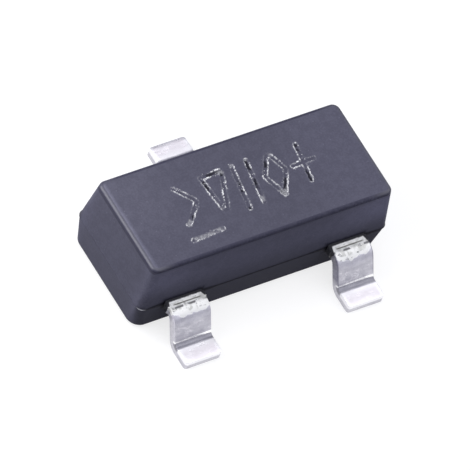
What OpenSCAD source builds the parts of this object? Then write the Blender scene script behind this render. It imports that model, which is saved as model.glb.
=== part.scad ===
// Three-lead surface-mount voltage regulator: epoxy body moulded round a stamped lead frame.
// Millimetres. The origin is on the seating plane, below the middle of the body.
// X runs along the body, +Z is up, and the side with two leads faces -Y.

/* [Moulded body] */
// Length of the body at its parting plane
body_l = 2.90; // [2.80:0.02:3.04]
// Width of the body at its parting plane
body_w = 1.26; // [1.20:0.01:1.40]
// Height of the body above the parting plane
upper_h = 0.56; // [0.54:0.01:0.66]
// Depth of the body below the parting plane
lower_h = 0.35; // [0.28:0.01:0.38]
// Draft of the walls above the parting plane, in degrees
upper_draft = 5.5; // [3:0.5:7]
// Draft of the walls below the parting plane, in degrees
lower_draft = 4.5; // [3:0.5:8]
// Corner radius of the body, from its top down to the parting plane
corner_r = 0.08; // [0.06:0.01:0.14]
// Corner radius of the body at its underside
underside_r = 0.14; // [0.08:0.01:0.18]
// Rounding of the top and bottom edges
edge_r = 0.025; // [0.015:0.005:0.04]
// Gap between the underside of the body and the board
standoff = 0.02; // [0.01:0.01:0.10]

/* [Gull-wing leads] */
// Distance between the middles of the two front leads
lead_pitch = 1.90; // [1.80:0.02:2.00]
// Width of each lead outside the body
lead_w = 0.42; // [0.36:0.01:0.48]
// Thickness of the lead frame strip
strip_t = 0.10; // [0.085:0.005:0.13]
// Width across the package from toe to toe
lead_span = 2.40; // [2.34:0.02:2.60]
// Height of the strip's top face above the parting plane
lead_rise = 0.035; // [0.02:0.005:0.05]
// Straight shoulder between the body and the first bend
shoulder_l = 0.09; // [0.08:0.005:0.13]
// Inside radius of the bend at the shoulder
shoulder_r = 0.06; // [0.04:0.005:0.08]
// Inside radius of the bend above the foot
foot_r = 0.04; // [0.02:0.005:0.06]
// Slope of the leg below the horizontal, in degrees
leg_angle = 63; // [56:1:70]
// Rounding of the corners of each toe
toe_r = 0.03; // [0.01:0.005:0.06]

/* [Marks of stamping and trimming] */
// How far a trimmed tie-bar stub stands out from each side of a lead
stub_out = 0.012; // [0.006:0.002:0.03]
// Length of a stub along the lead
stub_l = 0.07; // [0.05:0.01:0.08]
// Width of the clamp line pressed across each shoulder
clamp_w = 0.026; // [0.016:0.002:0.04]
// Depth of the clamp line
clamp_d = 0.008; // [0.004:0.001:0.012]
// Distance of the clamp line from the body wall
clamp_out = 0.06; // [0.045:0.005:0.07]

/* [Lead frame inside the body] */
// Width of each bond post
post_w = 0.60; // [0.52:0.02:0.64]
// Depth of each bond post across the package
post_d = 0.42; // [0.36:0.02:0.50]
// Compound between a post and the side wall of the body
post_cover = 0.20; // [0.16:0.01:0.24]
// Gap between a bond post and the die paddle
frame_gap = 0.15; // [0.10:0.01:0.18]
// Width of the die paddle across the package
paddle_w = 0.66; // [0.60:0.02:0.72]
// Rounding of the stamped corners of posts and paddle
stamp_r = 0.04; // [0.02:0.005:0.05]
// Radius of the notches that lock each lead in the compound
lock_r = 0.05; // [0.03:0.005:0.06]
// Diameter of the hole through each post, filled by the compound
post_hole_d = 0.14; // [0.08:0.01:0.18]

/* [Die and bond wires] */
// Length of the silicon die along the body
die_l = 0.60; // [0.50:0.02:0.70]
// Width of the die across the body
die_w = 0.48; // [0.40:0.02:0.54]
// Thickness of the die
die_t = 0.18; // [0.14:0.01:0.22]
// Thickness of the adhesive under the die
attach_t = 0.02; // [0.01:0.005:0.03]
// How far the adhesive is squeezed out round the die
attach_out = 0.02; // [0.01:0.005:0.03]
// Diameter of the gold bond wire
wire_d = 0.025; // [0.018:0.001:0.03]
// Diameter of the ball pressed on the die
ball_d = 0.065; // [0.05:0.005:0.08]
// Height of the pressed ball
ball_h = 0.018; // [0.012:0.002:0.024]
// Height of each wire loop above the die
loop_h = 0.12; // [0.08:0.01:0.14]
// Distance of each ball from the edges of the die
ball_inset = 0.09; // [0.06:0.01:0.12]
// Distance of each stitch from the near edge of its post
stitch_inset = 0.12; // [0.08:0.01:0.14]
// Length of the stitch pressed flat on the frame
stitch_l = 0.03; // [0.02:0.005:0.05]

/* [Hidden] */
$fn = 64;

compound_colour = [0.24, 0.23, 0.29];
tin_colour = [0.80, 0.80, 0.84];
adhesive_colour = [0.72, 0.72, 0.70];
silicon_colour = [0.42, 0.43, 0.50];
gold_colour = [0.90, 0.72, 0.30];

// Heights above the seating plane
body_bottom = standoff;
parting_z = body_bottom + lower_h;
body_top = parting_z + upper_h;
lead_top = parting_z + lead_rise;
die_bottom = lead_top + attach_t;
die_top = die_bottom + die_t;

// Half sizes of the body at its parting plane
half_l = body_l / 2;
half_w = body_w / 2;

// Places in the lead frame, measured outwards from the middle of the body
post_outer_y = half_w - post_cover;
post_inner_y = post_outer_y - post_d;
lock_y = half_w - post_cover / 2;
bend_y = half_w + shoulder_l;
toe_y = lead_span / 2;
stub_y = half_w + shoulder_l / 2;
clamp_y = half_w + clamp_out;
paddle_l = lead_pitch - post_w - 2 * frame_gap;
lead_cx = lead_pitch / 2;

// Middle line of the strip through its two bends
bend_mid_r = shoulder_r + strip_t / 2;
foot_mid_r = foot_r + strip_t / 2;
strip_z = lead_top - strip_t / 2;
leg_drop = strip_z - strip_t / 2 - (bend_mid_r + foot_mid_r) * (1 - cos(leg_angle));
leg_l = leg_drop / sin(leg_angle);
heel_y = bend_y + (bend_mid_r + foot_mid_r) * sin(leg_angle) + leg_l * cos(leg_angle);

arc_steps = 5;
corner_steps = 16;
bend_steps = 12;
wire_steps = 16;
wire_sides = 8;
// Share by which the wire grows wider and thinner at its stitch
stitch_spread = 0.6;
// Two solids that are fused share this much
seat = 0.004;

function unit(v) = v / norm(v);
function turned(v, a) = [v.x * cos(a) - v.y * sin(a), v.x * sin(a) + v.y * cos(a)];

// Points of the arc of radius r that rounds corner p between its neighbours a and b
function corner_arc(a, p, b, r) =
    let (
        u = unit(a - p),
        v = unit(b - p),
        half = acos(u * v) / 2,
        middle = p + unit(u + v) * r / sin(half),
        start = p + u * r / tan(half) - middle,
        sweep = sign(cross(p - a, b - p)) * (180 - 2 * half)
    )
    [for (i = [0:arc_steps]) middle + turned(start, sweep * i / arc_steps)];

// Outline through corners [x, y, radius], with an arc where the radius is above zero
function rounded(corners) =
    let (n = len(corners), at = [for (c = corners) [c.x, c.y]])
    [for (i = [0:n - 1]) each corners[i].z > 0
        ? corner_arc(at[(i + n - 1) % n], at[i], at[(i + 1) % n], corners[i].z)
        : [at[i]]];

function mirrored(points) = [for (i = [len(points) - 1:-1:0]) [-points[i].x, points[i].y]];

// How far the drafted wall stands in from the parting plane's outline, at a height
function wall_in(z) = z > parting_z
    ? (z - parting_z) * tan(upper_draft)
    : (parting_z - z) * tan(lower_draft);

// The moulded wall in section, as [distance in from the outline, height]
wall = rounded([
    [half_w, body_bottom, 0],
    [wall_in(body_bottom), body_bottom, edge_r],
    [0, parting_z, 0],
    [wall_in(body_top), body_top, edge_r],
    [half_w, body_top, 0]
]);

// Corner radius where the wall reaches a height, before the top and bottom edges are rounded
function corner_at(z) = z > parting_z
    ? corner_r
    : corner_r + (underside_r - corner_r) * (parting_z - z) / lower_h;

// Outline of the body at one point of its wall, anticlockwise from above
function ring(p) =
    let (
        r = corner_at(p.y) - (p.x - wall_in(p.y)),
        middle = [half_l - p.x - r, half_w - p.x - r]
    )
    [for (quarter = [[1, 1, 0], [-1, 1, 90], [-1, -1, 180], [1, -1, 270]])
        for (i = [0:corner_steps])
            let (a = quarter.z + 90 * i / corner_steps)
            [quarter.x * middle.x + r * cos(a), quarter.y * middle.y + r * sin(a), p.y]];

// Drafted block with rounded corners and edges
module moulded_block() {
    rings = [for (i = [1:len(wall) - 2]) ring(wall[i])];
    n = len(rings[0]);
    last = len(rings) - 1;
    sides = [for (i = [0:last - 1]) for (k = [0:n - 1])
        let (a = i * n + k, b = i * n + (k + 1) % n)
        [a, a + n, b + n, b]];
    bottom = [for (k = [0:n - 1]) k];
    top = [for (k = [n - 1:-1:0]) last * n + k];
    polyhedron([for (r = rings) each r], concat([bottom, top], sides));
}

// Middle line of the strip as [distance out, height, slope below the horizontal]
function strip_line() = concat(
    [for (i = [0:bend_steps]) let (a = leg_angle * i / bend_steps)
        [bend_y + bend_mid_r * sin(a), strip_z - bend_mid_r * (1 - cos(a)), a]],
    [for (i = [0:bend_steps]) let (a = leg_angle * (1 - i / bend_steps))
        [heel_y - foot_mid_r * sin(a), strip_t / 2 + foot_mid_r * (1 - cos(a)), a]]
);

// Side view of one lead, from its inner end to the toe
module strip_side(inner_y) {
    line = strip_line();
    upper = [for (p = line) [p.x + strip_t / 2 * sin(p.z), p.y + strip_t / 2 * cos(p.z)]];
    lower = [for (i = [len(line) - 1:-1:0]) let (p = line[i])
        [p.x - strip_t / 2 * sin(p.z), p.y - strip_t / 2 * cos(p.z)]];
    difference() {
        polygon(concat(
            [[inner_y, lead_top]], upper, [[toe_y, strip_t], [toe_y, 0]],
            lower, [[inner_y, lead_top - strip_t]]
        ));
        // Clamp line pressed across the shoulder
        translate([clamp_y, lead_top])
            polygon([[-clamp_w / 2, clamp_d], [0, -clamp_d], [clamp_w / 2, clamp_d]]);
    }
}

// One side of the stamped blank, from the wide inner part [half width, depth] out to the toe
function blank_side(wide, inner_y, outer_y) = [
    [wide, inner_y, stamp_r],
    [wide, outer_y, stamp_r],
    [lead_w / 2, outer_y, stamp_r],
    [lead_w / 2, stub_y - stub_l / 2, 0],
    [lead_w / 2 + stub_out, stub_y - stub_l / 2, 0],
    [lead_w / 2 + stub_out, stub_y + stub_l / 2, 0],
    [lead_w / 2, stub_y + stub_l / 2, 0],
    [lead_w / 2, toe_y, toe_r]
];

// Plan view of a blank: the outline, less the notches that lock it in the compound
module blank(wide, inner_y, outer_y) {
    side = blank_side(wide, inner_y, outer_y);
    other = [for (i = [len(side) - 1:-1:0]) [-side[i].x, side[i].y, side[i].z]];
    difference() {
        polygon(rounded(concat(side, other)));
        for (x = [-lead_w / 2, lead_w / 2])
            translate([x, lock_y]) circle(lock_r);
    }
}

// Bends a plan outline: the blank is kept only where the bent strip runs
module bent(inner_y, wide) {
    intersection() {
        linear_extrude(2 * lead_top) children();
        rotate([90, 0, 90])
            linear_extrude(2 * wide + 2 * lead_w, center = true) strip_side(inner_y);
    }
}

// Front lead with its bond post; outer is -1 on the left and 1 on the right
module post_lead(outer) {
    translate([outer * lead_cx, 0, 0]) mirror([0, 1, 0])
        bent(post_inner_y, post_w / 2)
            difference() {
                blank(post_w / 2, post_inner_y, post_outer_y);
                translate([outer * post_w / 4, (post_inner_y + post_outer_y) / 2])
                    circle(d = post_hole_d);
            }
}

// Back lead, in one piece with the paddle that carries the die
module paddle_lead() {
    bent(-paddle_w / 2, paddle_l / 2)
        blank(paddle_l / 2, -paddle_w / 2, paddle_w / 2);
}

module adhesive_pad() {
    l = die_l / 2 + attach_out;
    w = die_w / 2 + attach_out;
    translate([0, 0, lead_top])
        linear_extrude(attach_t)
            polygon(rounded([
                [-l, -w, attach_out], [l, -w, attach_out], [l, w, attach_out], [-l, w, attach_out]
            ]));
}

module silicon_die() {
    translate([-die_l / 2, -die_w / 2, die_bottom]) cube([die_l, die_w, die_t]);
}

function bezier(p, t) =
    pow(1 - t, 3) * p[0] + 3 * t * pow(1 - t, 2) * p[1]
    + 3 * t * t * (1 - t) * p[2] + pow(t, 3) * p[3];
function bezier_slope(p, t) =
    pow(1 - t, 2) * (p[1] - p[0]) + 2 * t * (1 - t) * (p[2] - p[1]) + t * t * (p[3] - p[2]);

// How far the wire is pressed flat, from 0 along the loop to 1 at the stitch
function pressed(t) = max(0, (t - 0.8) / 0.2);

// Wire swept along a loop in an upright plane, ending in a flat stitch that lies on the frame
module wire_loop(loop, along) {
    across = [-along.y, along.x, 0];
    r = wire_d / 2;
    // Each station is a point, the way the wire runs there, and how far it is pressed
    stations = concat(
        [for (i = [0:wire_steps]) let (t = i / wire_steps)
            [bezier(loop, t), unit(bezier_slope(loop, t)), pressed(t)]],
        [[loop[3] + along * stitch_l, along, 1]]
    );
    points = [for (s = stations) let (up = cross(s[1], across))
        for (k = [0:wire_sides - 1]) let (a = 360 * (k + 0.5) / wire_sides)
            s[0]
            + across * r * (1 + stitch_spread * s[2]) * cos(a)
            + up * r * (1 - stitch_spread * s[2]) * sin(a)];
    last = len(stations) - 1;
    sides = [for (i = [0:last - 1]) for (k = [0:wire_sides - 1]) let (
            a = i * wire_sides + k,
            b = i * wire_sides + (k + 1) % wire_sides
        )
        each [[a, a + wire_sides, b], [b, a + wire_sides, b + wire_sides]]];
    start_cap = [for (k = [0:wire_sides - 1]) k];
    end_cap = [for (k = [wire_sides - 1:-1:0]) last * wire_sides + k];
    polyhedron(points, concat([start_cap, end_cap], sides));
}

// Ball, neck and loop from a point on the die to a point on the frame
module wire_bond(from, to) {
    flat_half = wire_d / 2 * (1 - stitch_spread) * cos(180 / wire_sides);
    start = [from.x, from.y, die_top + ball_h - seat];
    end = [to.x, to.y, lead_top + flat_half];
    along = unit([end.x - start.x, end.y - start.y, 0]);
    run = norm([end.x - start.x, end.y - start.y]);
    // A curve with this rise reaches its peak at the loop's height, three tenths of the way along
    rise = (loop_h - ball_h + 0.216 * (start.z - end.z)) / 0.441;
    wire_loop([start, start + [0, 0, rise], end - along * run / 4, end], along);
    translate([from.x, from.y, die_top]) rotate_extrude(angle = 360)
        polygon([
            [0, 0], [ball_d * 0.44, 0], [ball_d / 2, ball_h * 0.3], [ball_d / 2, ball_h * 0.6],
            [ball_d * 0.42, ball_h * 0.85], [wire_d * 0.7, ball_h], [0, ball_h]
        ]);
}

ball_x = die_l / 2 - ball_inset;
ball_y = die_w / 2 - ball_inset;
stitch_x = lead_cx - post_w / 2 + stitch_inset;
stitch_y = (paddle_w / 2 + lock_y - lock_r) / 2;
post_mid_y = -(post_inner_y + post_outer_y) / 2;

module side_wire(outer) {
    wire_bond([outer * ball_x, -ball_y], [outer * stitch_x, post_mid_y]);
}

module back_wire() {
    wire_bond([0, ball_y], [0, stitch_y]);
}

module mould_body() {
    color(compound_colour) difference() {
        moulded_block();
        for (outer = [-1, 1]) {
            post_lead(outer);
            side_wire(outer);
        }
        paddle_lead();
        adhesive_pad();
        silicon_die();
        back_wire();
    }
}

module lead_1() {
    color(tin_colour) post_lead(-1);
}

module lead_2() {
    color(tin_colour) post_lead(1);
}

module lead_3() {
    color(tin_colour) paddle_lead();
}

module die_attach() {
    color(adhesive_colour) adhesive_pad();
}

module die() {
    color(silicon_colour) silicon_die();
}

module bond_wire_1() {
    color(gold_colour) side_wire(-1);
}

module bond_wire_2() {
    color(gold_colour) side_wire(1);
}

module bond_wire_3() {
    color(gold_colour) back_wire();
}

mould_body();
lead_1();
lead_2();
lead_3();
die_attach();
die();
bond_wire_1();
bond_wire_2();
bond_wire_3();
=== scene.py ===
from functools import reduce
from math import copysign, cos, pi, radians, sin, tan

import bmesh
import bpy
from mathutils import Matrix, Vector, noise


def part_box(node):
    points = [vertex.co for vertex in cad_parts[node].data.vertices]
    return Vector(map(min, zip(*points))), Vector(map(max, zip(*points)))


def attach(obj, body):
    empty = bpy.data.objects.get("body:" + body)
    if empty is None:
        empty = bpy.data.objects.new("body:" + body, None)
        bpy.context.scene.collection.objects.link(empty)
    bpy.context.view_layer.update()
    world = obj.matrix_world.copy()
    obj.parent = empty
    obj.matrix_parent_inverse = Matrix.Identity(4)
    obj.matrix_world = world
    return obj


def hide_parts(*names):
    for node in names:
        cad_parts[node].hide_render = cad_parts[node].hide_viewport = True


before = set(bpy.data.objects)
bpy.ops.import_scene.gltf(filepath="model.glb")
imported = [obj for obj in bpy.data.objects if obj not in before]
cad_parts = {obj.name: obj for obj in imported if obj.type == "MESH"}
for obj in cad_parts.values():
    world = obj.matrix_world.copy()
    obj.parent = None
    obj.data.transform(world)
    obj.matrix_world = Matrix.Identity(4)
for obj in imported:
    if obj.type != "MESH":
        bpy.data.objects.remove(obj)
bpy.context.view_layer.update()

# Meshes are built in millimetres and shrunk to metres when they are done.
mm = 0.001


def say(text):
    print("stage:", text)


def boxInMm(node):
    low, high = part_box(node)
    return low / mm, high / mm


# Node trees

def isSocket(value):
    return isinstance(value, bpy.types.NodeSocket)


# Links a node's inputs to sockets, or sets them to plain values
def fill(node, inputs):
    for name, value in inputs.items():
        socket = node.inputs[name]
        if isSocket(value):
            node.id_data.links.new(value, socket)
        else:
            socket.default_value = (*value, 1) if socket.type == "RGBA" else value
    return node


def addNode(tree, kind, inputs=None, **settings):
    node = tree.nodes.new(kind)
    for name, value in settings.items():
        setattr(node, name, value)
    return fill(node, inputs or {})


# The helpers below build in the tree of the first socket they are given
def treeOf(values):
    return next(value.id_data for value in values if isSocket(value))


def calc(operation, *values, clamp=False):
    return addNode(treeOf(values), "ShaderNodeMath", dict(enumerate(values)),
                   operation=operation, use_clamp=clamp).outputs[0]


def times(*values):
    return reduce(lambda a, b: calc("MULTIPLY", a, b), values)


def plus(*values):
    return reduce(lambda a, b: calc("ADD", a, b), values)


def most(*values):
    return reduce(lambda a, b: calc("MAXIMUM", a, b), values)


def minus(a, b):
    return calc("SUBTRACT", a, b)


# How far a value is from a place, on either side
def away(value, place):
    return calc("ABSOLUTE", minus(value, place))


def ramp(value, low, high, toLow=0, toHigh=1):
    return addNode(value.id_data, "ShaderNodeMapRange", {
        "Value": value, "From Min": low, "From Max": high, "To Min": toLow, "To Max": toHigh},
        interpolation_type="SMOOTHSTEP").outputs["Result"]


def vectorCalc(operation, *values):
    node = addNode(treeOf(values), "ShaderNodeVectorMath", dict(enumerate(values)),
                   operation=operation)
    return node.outputs["Value" if operation in ("DOT_PRODUCT", "LENGTH") else "Vector"]


def split(vector):
    return addNode(vector.id_data, "ShaderNodeSeparateXYZ", {"Vector": vector}).outputs[:3]


def upright(z):
    return addNode(z.id_data, "ShaderNodeCombineXYZ", {"Z": z}).outputs[0]


def noiseAt(place, scale, detail=2, roughness=0.5):
    return addNode(place.id_data, "ShaderNodeTexNoise", {
        "Vector": place, "Scale": scale, "Detail": detail, "Roughness": roughness}).outputs[0]


def mixColor(factor, a, b, blend="MIX"):
    return addNode(treeOf([factor, a, b]), "ShaderNodeMix", {0: factor, 6: a, 7: b},
                   data_type="RGBA", blend_type=blend).outputs[2]


def bumpFrom(height, distance, strength=1):
    return addNode(height.id_data, "ShaderNodeBump", {
        "Height": height, "Strength": strength, "Distance": distance}).outputs[0]


def addSocket(tree, name, kind, default=None, output=False):
    way = "OUTPUT" if output else "INPUT"
    item = tree.interface.new_socket(name, in_out=way, socket_type="NodeSocket" + kind)
    if default is not None:
        item.default_value = default


# A tree whose inputs are a mesh, a material, things of other kinds, and numbers
def newGeometryTree(name, kinds, numbers):
    tree = bpy.data.node_groups.new(name, "GeometryNodeTree")
    for label, kind in {"Geometry": "Geometry", "Material": "Material", **kinds}.items():
        addSocket(tree, label, kind)
    for label, value in numbers.items():
        addSocket(tree, label, "Float", value)
    addSocket(tree, "Geometry", "Geometry", output=True)
    return tree, addNode(tree, "NodeGroupInput").outputs


def endTree(tree, material, moves):
    moved = addNode(tree, "GeometryNodeSetPosition", moves).outputs[0]
    real = addNode(tree, "GeometryNodeRealizeInstances", {"Geometry": moved}).outputs[0]
    painted = addNode(tree, "GeometryNodeSetMaterial", {"Geometry": real, "Material": material})
    addNode(tree, "NodeGroupOutput", {0: painted.outputs[0]})
    return tree


def runTree(obj, tree, values):
    modifier = obj.modifiers.new(tree.name, "NODES")
    modifier.node_group = tree
    for item in tree.interface.items_tree:
        if item.in_out == "INPUT" and item.name in values:
            modifier[item.identifier] = values[item.name]
    settle(obj)


# Turns live modifiers into a plain mesh
def settle(obj):
    graph = bpy.context.evaluated_depsgraph_get()
    mesh = bpy.data.meshes.new_from_object(
        obj.evaluated_get(graph), preserve_all_data_layers=True, depsgraph=graph)
    obj.modifiers.clear()
    obj.data = mesh


# Mesh helpers

def newObject(name, data):
    obj = bpy.data.objects.new(name, data)
    bpy.context.scene.collection.objects.link(obj)
    return obj


def meshObject(name, work):
    mesh = bpy.data.meshes.new(name)
    work.to_mesh(mesh)
    work.free()
    return newObject(name, mesh)


def subtract(obj, cutter):
    modifier = obj.modifiers.new("cut", "BOOLEAN")
    modifier.operation = "DIFFERENCE"
    modifier.solver = "EXACT"
    modifier.object = cutter
    settle(obj)
    bpy.data.objects.remove(cutter)


# Shrinks a piece built in millimetres, and hands it to the frame
def fitPiece(obj, nodes, sharpAngle=32):
    obj.data.transform(Matrix.Scale(mm, 4))
    obj.data.shade_smooth()
    obj.data.set_sharp_from_angle(angle=radians(sharpAngle))
    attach(obj, "root")
    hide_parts(*nodes)


# CAD nodes as one cutter, with loose triangles merged and their own shading dropped
def cadCutter(nodes):
    work = bmesh.new()
    for node in nodes:
        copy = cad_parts[node].data.copy()
        if "custom_normal" in copy.attributes:
            copy.attributes.remove(copy.attributes["custom_normal"])
        copy.transform(Matrix.Scale(1 / mm, 4))
        work.from_mesh(copy)
        bpy.data.meshes.remove(copy)
    bmesh.ops.remove_doubles(work, verts=work.verts, dist=1e-5)
    return meshObject("cutter", work)


# Arc that rounds the corner p between its neighbours a and b
def cornerArc(a, p, b, radius, steps):
    u, v = (a - p).normalized(), (b - p).normalized()
    half = u.angle(v) / 2
    middle = p + (u + v).normalized() * radius / sin(half)
    start = p + u * radius / tan(half) - middle
    turn = pi - 2 * half
    if (p - a).cross(b - p) < 0:
        turn = -turn
    return [middle + Matrix.Rotation(turn * i / steps, 2) @ start for i in range(steps + 1)]


def roundedOutline(corners, steps):
    points = []
    count = len(corners)
    for i, (x, y, radius) in enumerate(corners):
        p = Vector((x, y))
        if radius <= 0:
            points.append(p)
            continue
        a = Vector(corners[i - 1][:2])
        b = Vector(corners[(i + 1) % count][:2])
        points += cornerArc(a, p, b, radius, steps)
    return points


# Materials

# A new material, its tree, its shader, and places on the object in metres
def newMaterial(name):
    material = bpy.data.materials.new(name)
    material.use_nodes = True
    tree = material.node_tree
    place = addNode(tree, "ShaderNodeTexCoord").outputs["Object"]
    return material, tree, tree.nodes["Principled BSDF"], place


def useGroup(group, place, values):
    return addNode(place.id_data, "ShaderNodeGroup", {"Place": place, **values},
                   node_tree=group).outputs


# A group takes a place and settings, and puts out masks and heights
def newShaderGroup(name, settings, results):
    tree = bpy.data.node_groups.new(name, "ShaderNodeTree")
    addSocket(tree, "Place", "Vector")
    for label, value in settings.items():
        addSocket(tree, label, "Vector" if isinstance(value, tuple) else "Float", value)
    for label in results:
        addSocket(tree, label, "Float", output=True)
    return tree, addNode(tree, "NodeGroupInput").outputs, addNode(tree, "NodeGroupOutput")


# Fine grain at two sizes: a mask for colour and roughness, and a height for bump
def makeGrainGroup():
    tree, given, result = newShaderGroup(
        "surfaceGrain", {"Fine Scale": 45000, "Coarse Scale": 9000, "Coarse Share": 0.4},
        ["Mask", "Height"])
    fine = noiseAt(given["Place"], given["Fine Scale"], 3, 0.6)
    coarse = noiseAt(given["Place"], given["Coarse Scale"])
    share = given["Coarse Share"]
    height = plus(times(fine, minus(1, share)), times(coarse, share))
    fill(result, {"Height": height, "Mask": ramp(height, 0.38, 0.62)})
    return tree


# Small bright or dark grains of filler, scattered one to a cell
def makeSpeckGroup():
    tree, given, result = newShaderGroup(
        "fillerSpecks", {"Scale": 22000, "Size": 0.22, "Share": 0.3}, ["Mask"])
    cells = addNode(tree, "ShaderNodeTexVoronoi", {
        "Vector": given["Place"], "Scale": given["Scale"]}).outputs
    near = ramp(cells["Distance"], given["Size"], 0)
    chance = addNode(tree, "ShaderNodeSeparateColor", {"Color": cells["Color"]}).outputs[0]
    fill(result, {"Mask": times(near, calc("LESS_THAN", chance, given["Share"]))})
    return tree


# Long fine streaks along one axis, as a tool leaves them
def makeStreakGroup():
    tree, given, result = newShaderGroup("toolStreaks", {"Stretch": (30, 4, 30)}, ["Mask"])
    pulled = vectorCalc("MULTIPLY", given["Place"], given["Stretch"])
    fill(result, {"Mask": ramp(noiseAt(pulled, 1, 2, 0.55), 0.35, 0.68)})
    return tree


grainGroup = makeGrainGroup()
speckGroup = makeSpeckGroup()
streakGroup = makeStreakGroup()


def attributeValue(tree, name, output="Fac"):
    return addNode(tree, "ShaderNodeAttribute", attribute_name=name).outputs[output]


# A ramp over a pair of places from a table, both counted from a start
def spreadIn(table, unit=1):
    def spread(value, name, start=0, *results):
        low, high = table[name]
        return ramp(value, (start + low) * unit, (start + high) * unit, *results)
    return spread


# Lays named colours over one another, each in its own mask
def layer(color, look, masks, blend="MIX"):
    for name, mask in masks.items():
        color = mixColor(mask, color, look[name], blend)
    return color


bodyLook = {
    "base": (0.089, 0.088, 0.121),
    "dark": (0.075, 0.074, 0.103),
    "speck": (0.12, 0.12, 0.16),
    "polishedAndShaded": (0.044, 0.043, 0.07),  # edges, which tubes and trays rub at both ends; the darker colour is also painted shade on all rounded edges
    # painted shade on the front's rounded edges
    "frontEdgeShade": (0.55, 0.55, 0.6),
    "lowerShadePainted": (0.6, 0.6, 0.6),  # painted shade on the long walls below the parting line
    # painted light: the long walls paler above the parting line
    "upperWallLightPainted": (1.24, 1.24, 1.28),
    # painted shade on the long walls just above the parting line
    "seamShadePainted": (0.7, 0.7, 0.68),
    "seam": (0.36, 0.36, 0.36),  # darker along the parting line, most on the long walls; wider beside the leads as painted shade
    "underEdgeShadePainted": (0.66, 0.66, 0.68),  # painted shade: a dark line under the top edge, mostly on the end walls
    "leftEdgeHighlightPainted": (1.7, 1.7, 1.67),  # painted highlight: a pale strip of the top along the left end
    "endsLightPainted": (1.34, 1.34, 1.36),  # painted light: long walls paler near both ends
    "rightLightPainted": (1.15, 1.15, 1.16),  # painted light: all above the seam, paler towards the right end
    "topLightPainted": (1.12, 1.12, 1.1),  # painted light: the top paler towards the left end of its back edge
    "cornerSheenPainted": (1.16, 1.16, 1.18),  # painted sheen: the end walls paler at their corners
    "leadShadePainted": (0.22, 0.22, 0.26),  # painted shade round the leads
    # flash at the corners, painted pale as a highlight
    "flashHighlight": (0.32, 0.32, 0.35),
    "melted": (0.022, 0.022, 0.03),
    "scraped": (0.3, 0.3, 0.32),
    # paler laser rims and spatter, near white as painted glints
    "rim": (0.96, 0.96, 0.97),
    "bump": 1.4e-6,
}

# Where each shade ends and where it is full, in millimetres
bodySpread = {
    "longWall": (0.53, 0.61),  # off the long middle line
    "lowerShadePainted": (0.05, -0.02),  # up from the parting line, like the next four
    "upperWallLightPainted": (-0.01, 0.02),
    "seamShadePainted": (0.34, 0),
    "endsLightHigh": (0.1, 0.48),
    "paleHigh": (0, 0.2),
    "endsLightPainted": (0.7, 1.25),  # off the middle, towards either end
    "coated": (1.1, 1.37),
    "rightLightPainted": (0.3, 1.2),  # towards the right end
    "topLightPainted": (-0.5, -1.1),
    "paleBack": (-0.4, 0.2),  # towards the back
    "cornerSheenPainted": (0.38, 0.56),
    "onEnd": (-0.07, -0.05),  # in from the parting outline's ends
    "leftEdgeHighlightPainted": (0.138, 0.085),
    "onTop": (-0.014, -0.004),  # up to the top face
    "coatedHigh": (-0.026, -0.008),
    "underEdgeDown": 0.044,  # a line below the top face, and how far off it the painted shade lies
    "underEdgeShadePainted": (0.022, 0.01),
    "seamDown": 0.004,  # middle of the dark seam, below the parting line
    "seamWide": (0.26, 0.02),  # off a lead's side; the seam's half widths there, widened beside a lead as painted shade
    "seamHalf": (0.019, 0.046),
    "leadShadeWide": (0.035, 0.08),  # least and most width of the painted shade round a lead
}


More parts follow.
